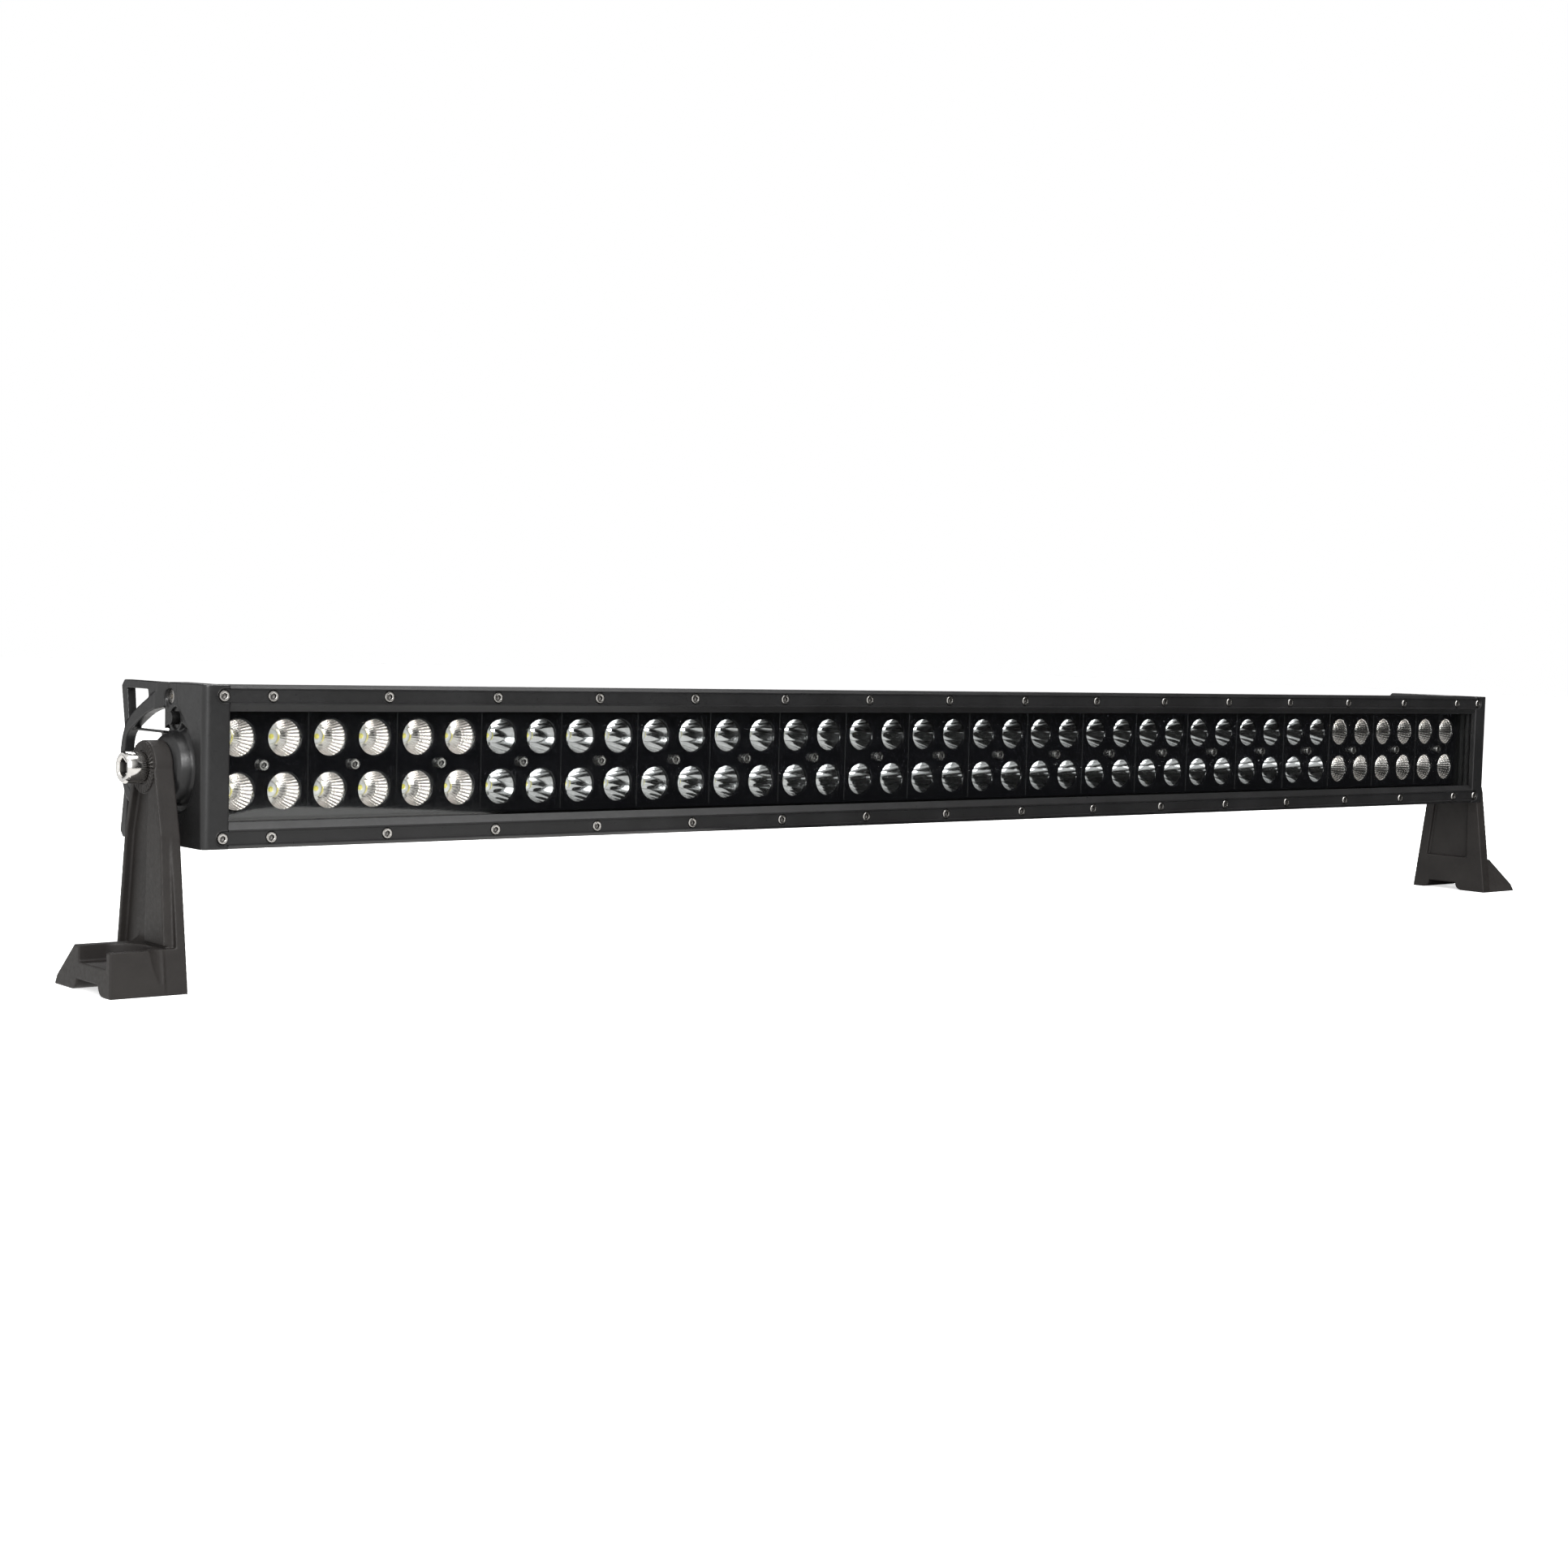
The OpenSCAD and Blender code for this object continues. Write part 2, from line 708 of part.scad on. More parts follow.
module bracket_casting() {
    inner_pocket = [[-13.5, -20], [-15.1, foot_top + 3.5], [20.8, foot_top + 3.5], [12.9, -20]];
    difference() {
        union() {
            along_x(0, web_plate_t) post_outline();
            along_x(web_plate_t - 0.1, post_t) thick_side_outline();
            along_x(web_plate_t - 0.1, web_plate_t + rim_h) rim_outline();
            rotate([0, 90, 0]) cylinder(r = boss_r, h = boss_t);
            along_x(0, post_t + 1.6) foot_outline(post_edge(foot_top));
            along_x(post_t + 1.5, foot_l) foot_outline(half_w);
            foot_blend();
            tooth_ring();
        }
        along_x(-cut, 2.8) polygon(inner_pocket);
        along_x(-cut, foot_l + cut) arch_outline();
        foot_tray();
        foot_hole();
        foot_groove();
        translate([-cut, 0, 0]) rotate([0, 90, 0])
            cylinder(r = bolt_dia / 2 + 0.06, h = post_t + 2 * cut);
    }
}

// The casting fits either end: one end is the other turned half round.
module placed_bracket(side) {
    translate([side * bracket_x, front_y + axis_d, axis_h])
        rotate([0, 0, side < 0 ? 180 : 0]) bracket_casting();
}

module bracket_left() { color(cast_black) placed_bracket(-1); }

module bracket_right() { color(cast_black) placed_bracket(1); }

module tilt_bolt(side) {
    washer_x = bracket_x + boss_t;
    head_x = washer_x + washer_t + 0.15;
    color(steel) in_bar() at_end(side) on_axis()
        difference() {
            union() {
                translate([0, 0, seat_x + 4]) cylinder(r = bolt_dia / 2, h = head_x - seat_x - 3.9);
                translate([0, 0, head_x]) cylinder(r = head_r, h = bolt_head_h - 1);
                translate([0, 0, head_x + bolt_head_h - 1.01])
                    cylinder(r1 = head_r, r2 = head_r - 1.2, h = 1.01);
            }
            translate([0, 0, head_x + bolt_head_h - 5]) cylinder(r = bolt_hex_r, h = 6, $fn = 6);
        }
}

module tilt_bolt_left() { tilt_bolt(-1); }

module tilt_bolt_right() { tilt_bolt(1); }

module tilt_washer(side) {
    x = bracket_x + boss_t;
    color(steel) in_bar() at_end(side) on_axis() difference() {
        translate([0, 0, x + 0.1]) cylinder(r = washer_r, h = washer_t);
        translate([0, 0, x - cut]) cylinder(r = bolt_dia / 2 + 0.05, h = washer_t + 3 * cut);
    }
}

module tilt_washer_left() { tilt_washer(-1); }

module tilt_washer_right() { tilt_washer(1); }

// ---- nodes --------------------------------------------------------------------------

housing();
top_rail();
bottom_rail();
lens();
lens_gasket();
for (i = [1:modules]) reflector(i);
for (i = [1:board_count]) led_board(i);
led_emitters();
reflector_screws();
top_rail_screws();
bottom_rail_screws();
end_cap_left();
end_cap_right();
end_cap_gasket_left();
end_cap_gasket_right();
end_cap_screws();
vent_plug_left();
vent_plug_right();
driver_board();
driver_components();
cable_gland();
gland_nut();
bracket_left();
bracket_right();
tilt_bolt_left();
tilt_bolt_right();
tilt_washer_left();
tilt_washer_right();
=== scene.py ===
"""Looks of the double-row LED light bar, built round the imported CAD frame.

Lengths in the shape code are in millimetres in the bar's own terms: x along the bar,
d the depth behind the front face and h the height above the middle of the bar.
"""

import math

import bmesh
import bpy
from mathutils import Matrix, Vector


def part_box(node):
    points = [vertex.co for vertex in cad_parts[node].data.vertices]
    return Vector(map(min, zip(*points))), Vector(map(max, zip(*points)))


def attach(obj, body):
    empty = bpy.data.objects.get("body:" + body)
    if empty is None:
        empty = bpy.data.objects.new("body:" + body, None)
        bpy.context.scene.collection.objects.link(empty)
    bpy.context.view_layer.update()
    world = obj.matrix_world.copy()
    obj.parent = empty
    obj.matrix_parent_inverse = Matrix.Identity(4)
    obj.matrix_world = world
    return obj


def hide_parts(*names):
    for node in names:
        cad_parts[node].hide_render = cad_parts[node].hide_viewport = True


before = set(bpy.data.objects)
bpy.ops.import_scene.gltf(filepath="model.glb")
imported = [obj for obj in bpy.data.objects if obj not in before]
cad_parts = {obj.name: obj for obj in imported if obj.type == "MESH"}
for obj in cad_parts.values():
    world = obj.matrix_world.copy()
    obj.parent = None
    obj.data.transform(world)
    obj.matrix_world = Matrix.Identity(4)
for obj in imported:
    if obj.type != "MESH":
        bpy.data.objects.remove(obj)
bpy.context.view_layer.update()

MM = 0.001
TAU = 2 * math.pi

# ---- places taken from the CAD ---------------------------------------------------

CAP_LO, CAP_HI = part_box("end_cap_right")
BOLT_LO, BOLT_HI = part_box("tilt_bolt_right")
FRONT_Y = CAP_LO.y
MIDDLE_Z = (CAP_LO.z + CAP_HI.z) / 2
AXIS = Vector((0, (BOLT_LO.y + BOLT_HI.y) / 2, (BOLT_LO.z + BOLT_HI.z) / 2))
MODULES = sorted(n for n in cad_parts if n.startswith("reflector_") and n[-1].isdigit())
COLUMN_PITCH = 25.65
ROW_PITCH = 26.7
FLOOD_MODULES = 3  # wide-beam modules at each end of the bar


def at(x, d, h):
    """A point given in the bar's own terms."""
    return Vector((x * MM, FRONT_Y + d * MM, MIDDLE_Z + h * MM))


def span(node):
    """A node's middle along x, half its length, half its height, and its two depths."""
    lo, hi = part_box(node)
    return ((lo.x + hi.x) / 2 / MM, (hi.x - lo.x) / 2 / MM, (hi.z - lo.z) / 2 / MM,
            (lo.y - FRONT_Y) / MM, (hi.y - FRONT_Y) / MM)


def on_bolt(side, out, px, pz):
    """A point beside the tilt bolt's axis, a distance out from the middle of the bar."""
    return Vector((side * out * MM, AXIS.y + px * MM, AXIS.z + pz * MM))


def ends_out(side, node):
    """How far out a node reaches on one side of the bar: its inner and its outer end."""
    lo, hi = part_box(node)
    return (lo.x / MM, hi.x / MM) if side > 0 else (-hi.x / MM, -lo.x / MM)


# ---- mesh building -----------------------------------------------------------------


class Shape:
    """Vertices in metres and faces, each face with a material number."""

    def __init__(self):
        self.verts, self.faces, self.mats = [], [], []

    def add(self, verts, faces, mats):
        base = len(self.verts)
        self.verts += [tuple(v) for v in verts]
        self.faces += [tuple(i + base for i in f) for f in faces]
        self.mats += mats

    def loft(self, rings, place, mat=0, closed=False):
        """Joins rings of equal length. A ring of one point closes an end.

        mat is a material number, or a function that gives it from a ring's number.
        """
        base, starts, mats = [], [], []
        for ring in rings:
            starts.append(len(base))
            base += [place(*p) for p in ring]
        faces = []
        pairs = list(zip(range(len(rings) - 1), range(1, len(rings))))
        if closed:
            pairs.append((len(rings) - 1, 0))
        for a, b in pairs:
            na, nb, sa, sb = len(rings[a]), len(rings[b]), starts[a], starts[b]
            n = max(na, nb)
            for k in range(n):
                j = (k + 1) % n
                if na == 1:
                    faces.append((sa, sb + j, sb + k))
                elif nb == 1:
                    faces.append((sa + k, sa + j, sb))
                else:
                    faces.append((sa + k, sa + j, sb + j, sb + k))
            mats += [mat(a) if callable(mat) else mat] * n
        self.add(base, faces, mats)

    def build(self, name, materials, body, slot, node, angle=30):
        """Makes the piece, with edges sharper than the angle (degrees) left sharp."""
        mesh = bpy.data.meshes.new(name)
        mesh.from_pydata(self.verts, [], self.faces)
        for m in materials:
            mesh.materials.append(m)
        mesh.polygons.foreach_set("material_index", self.mats)
        bm = bmesh.new()
        bm.from_mesh(mesh)
        bmesh.ops.recalc_face_normals(bm, faces=bm.faces)
        bm.to_mesh(mesh)
        bm.free()
        mesh.shade_smooth()
        mesh.set_sharp_from_angle(angle=math.radians(angle))
        declare(linked(name, mesh), body, node)


def linked(name, data):
    """A new object, linked into the scene."""
    obj = bpy.data.objects.new(name, data)
    bpy.context.scene.collection.objects.link(obj)
    return obj


def declare(obj, body, node):
    """Says which body a piece rides on and which node it replaces."""
    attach(obj, body)
    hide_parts(node)


def circle(n, r, a0=0.0):
    """n points of a circle; r is a number or a function of the angle and the index."""
    pts = []
    for k in range(n):
        a = a0 + TAU * k / n
        rk = r(a, k) if callable(r) else r
        pts.append((rk * math.cos(a), rk * math.sin(a)))
    return pts


def hexagon(flat):
    """Radius of a hexagon, flat to centre, at an angle."""
    return lambda a, k: flat / math.cos((a + math.pi / 6) % (math.pi / 3) - math.pi / 6)


# ---- materials -----------------------------------------------------------------------


class Nodes:
    """A small helper to wire one material."""

    def __init__(self, name):
        self.mat = bpy.data.materials.new(name)
        self.mat.use_nodes = True
        self.tree = self.mat.node_tree
        self.bsdf = self.tree.nodes["Principled BSDF"]
        self.out = self.tree.nodes["Material Output"]
        self.coord = self.tree.nodes.new("ShaderNodeTexCoord").outputs["Object"]

    def node(self, kind, **values):
        n = self.tree.nodes.new(kind)
        for key, value in values.items():
            if key in n.inputs:
                n.inputs[key].default_value = value
            else:
                setattr(n, key, value)
        return n

    def link(self, a, b):
        self.tree.links.new(a, b)

    def noise(self, scale, detail=2.0, rough=0.5):
        n = self.node("ShaderNodeTexNoise", Scale=scale, Detail=detail, Roughness=rough)
        self.link(self.coord, n.inputs["Vector"])
        return n.outputs["Fac"]

    def ramp(self, fac, stops):
        r = self.node("ShaderNodeValToRGB")
        while len(r.color_ramp.elements) < len(stops):
            r.color_ramp.elements.new(0.5)
        for e, (pos, colour) in zip(r.color_ramp.elements, stops):
            e.position = pos
            c = colour if isinstance(colour, (tuple, list)) else (colour,) * 3
            e.color = (*c, 1)
        self.link(fac, r.inputs["Fac"])
        return r.outputs["Color"]

    def bump(self, height, strength, distance, normal=None):
        b = self.node("ShaderNodeBump", Strength=strength, Distance=distance)
        self.link(height, b.inputs["Height"])
        if normal is not None:
            self.link(normal, b.inputs["Normal"])
        return b.outputs["Normal"]

    def set(self, **values):
        for key, value in values.items():
            self.bsdf.inputs[key.replace("_", " ")].default_value = value

    def feed(self, **sources):
        for key, source in sources.items():
            self.link(source, self.bsdf.inputs[key.replace("_", " ")])


def powder_coat(name, dark, light, rough, peel=0.25, shine=0.5):
    """Satin powder coat: fine orange peel, cloudy gloss and slightly uneven colour."""
    n = Nodes(name)
    n.set(Specular_IOR_Level=shine)
    cloud = n.noise(38, 3, 0.6)
    gloss = n.noise(420, 4, 0.7)
    fine = n.bump(n.noise(2600, 2, 0.6), peel, 0.00006)
    coarse = n.bump(n.noise(620, 2, 0.5), peel * 0.8, 0.00012, fine)
    n.feed(Base_Color=n.ramp(cloud, [(0.35, dark), (0.7, light)]),
           Roughness=n.ramp(gloss, [(0.3, rough - 0.07), (0.75, rough + 0.08)]),
           Normal=coarse)
    return n.mat


def metal(name, colour, rough, scratch=0.05, scale=900):
    """Turned or polished metal with fine scratches and cloudy gloss."""
    n = Nodes(name)
    n.set(Metallic=1.0)
    dimmed = tuple(c * 0.9 for c in colour)
    gloss = n.noise(scale, 3, 0.6)
    n.feed(Base_Color=n.ramp(n.noise(260, 2, 0.5), [(0.3, dimmed), (0.7, colour)]),
           Roughness=n.ramp(gloss, [(0.25, max(0.02, rough - 0.05)), (0.8, rough + 0.08)]),
           Normal=n.bump(n.noise(scale * 2, 2, 0.6), scratch, 0.00004))
    return n.mat


def plastic(name, dark, light, rough, bump=0.1, scale=1500, coat=0.0):
    """Moulded plastic, rubber, board or ceramic: a fine grain and uneven gloss."""
    n = Nodes(name)
    gloss = n.noise(500, 3, 0.6)
    n.feed(Base_Color=n.ramp(n.noise(120, 3, 0.6), [(0.35, dark), (0.7, light)]),
           Roughness=n.ramp(gloss, [(0.3, max(0.02, rough - 0.05)), (0.75, rough + 0.06)]),
           Normal=n.bump(n.noise(scale, 2, 0.5), bump, 0.00006))
    if coat:
        n.set(Coat_Weight=coat, Coat_Roughness=0.05)
    return n.mat


def clear_pane(name):
    """Clear polycarbonate: what it mirrors grows with the angle, the rest passes through."""
    n = Nodes(name)
    n.tree.nodes.remove(n.bsdf)
    clear = n.node("ShaderNodeBsdfTransparent", Color=(0.965, 0.975, 0.975, 1))
    gloss = n.node("ShaderNodeBsdfGlossy", Roughness=0.02, Color=(1, 1, 1, 1))
    edge = n.node("ShaderNodeLayerWeight", Blend=0.5)
    power = n.node("ShaderNodeMath", operation="POWER")
    power.inputs[1].default_value = 5.0
    n.link(edge.outputs["Facing"], power.inputs[0])
    share = n.node("ShaderNodeMapRange")
    share.inputs["To Min"].default_value = 0.05  # mirrored when seen straight on
    share.inputs["To Max"].default_value = 1.0
    n.link(power.outputs["Value"], share.inputs["Value"])
    wave = n.bump(n.noise(14, 2, 0.5), 0.05, 0.0006)
    n.link(wave, gloss.inputs["Normal"])
    mix = n.node("ShaderNodeMixShader")
    n.link(share.outputs["Result"], mix.inputs["Fac"])
    n.link(clear.outputs["BSDF"], mix.inputs[1])
    n.link(gloss.outputs["BSDF"], mix.inputs[2])
    n.link(mix.outputs["Shader"], n.out.inputs["Surface"])
    return n.mat


HOUSING = powder_coat("housing_coat", (0.0105, 0.0105, 0.0108), (0.0150, 0.0150, 0.0155), 0.34,
                      shine=0.48)
BRACKET = powder_coat("bracket_coat", (0.0155, 0.0135, 0.0127), (0.022, 0.0195, 0.018), 0.50,
                      peel=0.4, shine=0.30)
FACE = plastic("face_gloss", (0.003, 0.003, 0.004), (0.005, 0.005, 0.006), 0.05, bump=0.02, scale=300)
SPOT = metal("spot_chrome", (0.90, 0.90, 0.90), 0.06, scratch=0.02, scale=400)
FLOOD = metal("flood_chrome", (0.99, 0.965, 0.945), 0.09, scratch=0.03, scale=900)
STEEL = metal("stainless_steel", (0.72, 0.70, 0.67), 0.26, scratch=0.15)
POLISHED = metal("polished_steel", (0.90, 0.88, 0.85), 0.14, scratch=0.06)
# dull broached steel for hexagon sockets, made darker still as painted shade for the deep recess
SOCKET_DULL_SHADED = metal("socket_broached_and_painted_shade", (0.13, 0.125, 0.12), 0.45, scratch=0.3)
RUBBER = plastic("rubber_black", (0.010, 0.010, 0.010), (0.018, 0.018, 0.018), 0.75, bump=0.2)
NYLON = plastic("nylon_black", (0.003, 0.003, 0.003), (0.006, 0.006, 0.006), 0.30, bump=0.10)
BOARD = plastic("board_mask_white", (0.72, 0.72, 0.70), (0.80, 0.80, 0.78), 0.35, bump=0.05)
CERAMIC = plastic("led_ceramic", (0.74, 0.74, 0.70), (0.82, 0.82, 0.78), 0.40, bump=0.05)
PHOSPHOR = plastic("led_phosphor", (0.80, 0.72, 0.10), (0.95, 0.88, 0.22), 0.35, bump=0.1, coat=0.8)
GREEN = plastic("board_mask_green", (0.02, 0.12, 0.05), (0.03, 0.17, 0.07), 0.35, bump=0.1)
PARTS = plastic("component_moulding", (0.10, 0.10, 0.11), (0.16, 0.16, 0.17), 0.50, bump=0.1)
LENS = clear_pane("lens_clear")

# ---- reflector modules ------------------------------------------------------------------

PLATE_T = 1.6
PLATE_SOFT = 0.22  # rounding of the plate's outer edges
HOLE_POINTS = 64
CUP_R = 9.2
FLOOR_R = 3.6
CUP_WALL = 1.0
FLANGE_R = CUP_R + 1.6
SPOT_POINTS, SPOT_STEPS = 72, 20
FACET_COLUMNS, FACET_ROWS = 30, 7
FACET_ACROSS, FACET_ALONG = 4, 3  # mesh cells in one facet
FACET_SWELL, FACET_SWELL_MOUTH = 0.08, 0.20  # at the floor, and what the mouth adds
SQUARENESS = 0.7  # below 1 a facet rises steeply at its edges


def cup_radius(t):
    """Paraboloid from the floor (t = 0) to the mouth (t = 1)."""
    return math.sqrt(FLOOR_R**2 + (CUP_R**2 - FLOOR_R**2) * t)


def cup_centres():
    return [(sx * COLUMN_PITCH / 2, sz * ROW_PITCH / 2) for sz in (1, -1) for sx in (-1, 1)]


def rim_to_edge(n, cx, cz, half_l, half_h, r):
    """For one quarter of a plate: circle points and the matching points on its edges."""
    x0, x1 = (0.0, half_l) if cx > 0 else (-half_l, 0.0)
    z0, z1 = (0.0, half_h) if cz > 0 else (-half_h, 0.0)
    inner, outer = [], []
    for c, s in circle(n, 1.0, math.pi / n):
        tx = ((x1 if c > 0 else x0) - cx) / c if abs(c) > 1e-9 else 1e9
        tz = ((z1 if s > 0 else z0) - cz) / s if abs(s) > 1e-9 else 1e9
        t = min(tx, tz)
        inner.append((cx + r * c, cz + r * s))
        outer.append((cx + t * c, cz + t * s))
    for corner in ((x0, z0), (x0, z1), (x1, z0), (x1, z1)):
        outer[min(range(n), key=lambda i: math.dist(outer[i], corner))] = corner
    return inner, outer


def softened(value, half):
    """Moves a point that lies on the plate's outer edge in by the edge's rounding."""
    return value - math.copysign(PLATE_SOFT, value) * (abs(value) > half - 0.01)


def face_plate(x, half_l, half_h, depth):
    """Black plate with four round holes whose edges are slightly rounded."""
    shape = Shape()
    for cx, cz in cup_centres():
        flat_r = CUP_R + 0.8
        inner, outer = rim_to_edge(HOLE_POINTS, cx, cz, half_l, half_h, flat_r)
        rings = [
            [(px, PLATE_T, pz) for px, pz in outer],
            [(px, PLATE_SOFT, pz) for px, pz in outer],
            [(softened(px, half_l), 0.0, softened(pz, half_h)) for px, pz in outer],
            [(px, 0.0, pz) for px, pz in inner],
        ]
        for r, d in ((CUP_R + 0.45, 0.0), (CUP_R + 0.15, 0.08), (CUP_R, 0.4),
                     (CUP_R, PLATE_T), (flat_r, PLATE_T)):
            inner, outer = rim_to_edge(HOLE_POINTS, cx, cz, half_l, half_h, r)
            rings.append([(px, d, pz) for px, pz in inner])
        shape.loft(rings, lambda px, d, pz: at(x + px, depth + d, pz), closed=True)
    return shape


def facet_radius(r, t, row_share):
    """Radius of a ring of facets: each facet swells into the cup at its middle."""
    along = 0.3 + 0.7 * math.sin(math.pi * row_share) ** SQUARENESS

    def radius(a, k):
        across = math.sin(math.pi * (k % FACET_ACROSS) / FACET_ACROSS) ** SQUARENESS
        return r - (FACET_SWELL + FACET_SWELL_MOUTH * t) * across * along

    return radius


def cups(x, depth, end, flood):
    """Four reflector cups: faceted ones spread the light, smooth ones throw it far."""
    shape = Shape()
    length = end - depth - PLATE_T
    n = FACET_COLUMNS * FACET_ACROSS if flood else SPOT_POINTS
    steps = FACET_ROWS * FACET_ALONG if flood else SPOT_STEPS
    for cx, cz in cup_centres():
        rings = []
        for j in range(steps + 1):
            t = 1 - j / steps
            r = cup_radius(t)
            if flood:
                r = facet_radius(r, t, (j % FACET_ALONG) / FACET_ALONG)
            rings.append([(px, depth + PLATE_T + (1 - t) * length, pz) for px, pz in circle(n, r)])
        # the floor's edge, then back up the outside to the flange behind the plate
        for r, d in ((FLOOR_R + CUP_WALL, end - depth),
                     (cup_radius(0.5) + CUP_WALL, PLATE_T + length / 2),
                     (CUP_R + CUP_WALL, PLATE_T + 1.2),
                     (FLANGE_R, PLATE_T + 1.1), (FLANGE_R, PLATE_T + 0.02)):
            rings.append([(px, depth + d, pz) for px, pz in circle(n, r)])
        shape.loft(rings, lambda px, d, pz: at(x + (cx + px), d, cz + pz), closed=True)
    return shape


for index, node in enumerate(MODULES):
    mid, half_l, half_h, depth, end = span(node)
    flood = index < FLOOD_MODULES or index >= len(MODULES) - FLOOD_MODULES
    face_plate(mid, half_l, half_h, depth).build(
        f"face_plate_{node[-2:]}", [FACE], "light_bar", "face_black", node, angle=40)
    cups(mid, depth, end, flood).build(
        f"cups_{node[-2:]}", [FLOOD if flood else SPOT], "light_bar", "reflector_chrome", node,
        angle=25 if flood else 50)

# ---- emitters --------------------------------------------------------------------------

DOME_TOP, PACKAGE_BACK = span("led_emitters")[3:]
PACKAGE_T = 0.8
PACKAGE_HALF = 1.725
PACKAGE_CHAMFER = 0.125
DOME_R, DOME_H = 1.4, 1.1
DOME_POINTS, DOME_STEPS = 20, 6


def square(half, soft):
    """Square with cut corners, eight points."""
    h, c = half, half - soft
    return [(h, -c), (h, c), (c, h), (-c, h), (-h, c), (-h, -c), (-c, -h), (c, -h)]


emitters = Shape()
package_front = PACKAGE_BACK - PACKAGE_T
for node in MODULES:
    mid = span(node)[0]
    for cx, cz in cup_centres():
        def on_board(px, d, pz):
            return at(mid + cx + px, d, cz + pz)

        package = [[(0, package_front, 0)]]
        for half, d in ((PACKAGE_HALF - PACKAGE_CHAMFER, package_front),
                        (PACKAGE_HALF, package_front + 0.12), (PACKAGE_HALF, PACKAGE_BACK)):
            package.append([(px, d, pz) for px, pz in square(half, 0.15)])
        emitters.loft(package + [[(0, PACKAGE_BACK, 0)]], on_board)
        dome = [[(0, DOME_TOP, 0)]]
        for i in range(1, DOME_STEPS + 1):
            a = math.pi / 2 * i / DOME_STEPS
            d = DOME_TOP + DOME_H * (1 - math.cos(a))
            dome.append([(px, d, pz) for px, pz in circle(DOME_POINTS, DOME_R * math.sin(a))])
        emitters.loft(dome + [[(0, DOME_TOP + DOME_H + 0.05, 0)]], on_board, 1)
emitters.build("led_packages", [CERAMIC, PHOSPHOR], "light_bar", "led_yellow", "led_emitters")

# ---- screws ------------------------------------------------------------------------------


SCREW_POINTS = 48
SOCKET_RING = 12  # the ring of a cap screw where its socket begins
SMALL_HEAD_R, SMALL_HEAD_H, SMALL_SHANK_R, SMALL_FLAT = 2.75, 3.0, 1.5, 1.25
BOLT_HEAD_R, BOLT_HEAD_H, BOLT_SHANK_R, BOLT_FLAT = 7.9, 10.0, 5.0, 4.0
RAIL_Z = 34.7
RAIL_PITCH = 65.3
RAIL_SCREWS = 16
RAIL_SHANK, CORNER_SHANK = 9.5, 5.2
CORNER_X = 516.0


def cap_screw(shape, place, top, head_r, head_h, tip, shank_r, flat, knurl=0.10):
    """Socket cap screw along its own depth axis: knurled head, chamfer, and a hexagon socket in dull
    steel darkened as painted shade.
    """
    ribbed = (lambda a, k: head_r - knurl * (k % 2)) if knurl else head_r
    hexa = hexagon(flat)
    rings = [[(0, tip, 0)]]
    for r, d in ((shank_r * 0.8, tip), (shank_r, tip - 0.3), (shank_r, top + head_h),
                 (head_r - 0.05 * head_h, top + head_h), (ribbed, top + 0.88 * head_h),
                 (ribbed, top + 0.16 * head_h), (head_r - 0.02, top + 0.14 * head_h),
                 (head_r * 0.90, top + 0.02), (head_r * 0.86, top), (flat * 1.30, top),
                 (lambda a, k: hexa(a, k) * 1.06, top + 0.03 * head_h), (hexa, top + 0.10 * head_h),
                 (hexa, top + 0.55 * head_h), (flat * 0.75, top + 0.60 * head_h)):
        rings.append([(px, d, pz) for px, pz in circle(SCREW_POINTS, r)])
    rings.append([(0, top + 0.72 * head_h, 0)])
    # from the socket's first ring on, the dark socket material: dull steel with painted shade
    shape.loft(rings, place, lambda ring: int(ring >= SOCKET_RING))


def small_screw(shape, x, h, top, tip):
    """One of the bar's small screws, with its head at depth top and its end at depth tip."""
    cap_screw(shape, lambda px, d, pz: at(x + px, d, h + pz), top, SMALL_HEAD_R, SMALL_HEAD_H, tip,
              SMALL_SHANK_R, SMALL_FLAT)


def rail_screw_places():
    """Each screw's x and the length of its shank: along the rail, then at the corners."""
    middle = (RAIL_SCREWS - 1) / 2
    along = [((i - middle) * RAIL_PITCH, RAIL_SHANK) for i in range(RAIL_SCREWS)]
    return along + [(-CORNER_X, CORNER_SHANK), (CORNER_X, CORNER_SHANK)]


for sign, node in ((1, "top_rail_screws"), (-1, "bottom_rail_screws")):
    top = span(node)[3]
    shape = Shape()
    for x, shank in rail_screw_places():
        small_screw(shape, x, sign * RAIL_Z, top, top + SMALL_HEAD_H + shank)
    shape.build(node + "_detailed", [STEEL, SOCKET_DULL_SHADED], "light_bar", "stainless", node, angle=35)

top, tip = span("reflector_screws")[3:]
shape = Shape()
for node in MODULES:
    small_screw(shape, span(node)[0], 0.0, top, tip)
shape.build("reflector_screws_detailed", [STEEL, SOCKET_DULL_SHADED], "light_bar", "stainless",
            "reflector_screws", angle=35)

for side, name in ((-1, "left"), (1, "right")):
    inner, outer = ends_out(side, f"tilt_bolt_{name}")
    shape = Shape()
    cap_screw(shape, lambda px, d, pz: on_bolt(side, outer - d, px, pz),
              0.0, BOLT_HEAD_R, BOLT_HEAD_H, outer - inner, BOLT_SHANK_R, BOLT_FLAT, knurl=0.0)
    shape.build(f"tilt_bolt_{name}_detailed", [POLISHED, SOCKET_DULL_SHADED], "light_bar",
                "polished_stainless", f"tilt_bolt_{name}", angle=25)

# ---- castings: end caps and brackets -----------------------------------------------------


CAP_VOXEL = 0.45
BRACKET_VOXEL = 0.5
SOFTEN_ROUNDS = 2
BOSS_T = 9.4  # from the bracket's inner face to the face under the toothed ring
RING_IN, RING_OUT, RING_TOP, RING_VALLEY = 8.3, 12.6, 10.4, 9.6
RING_CHAMFER = 0.25
TEETH = 36
TOOTH_SHAPE = (0.0, 0.35, 1.0, 1.0, 1.0, 0.35)  # share of a tooth's height, round the ring


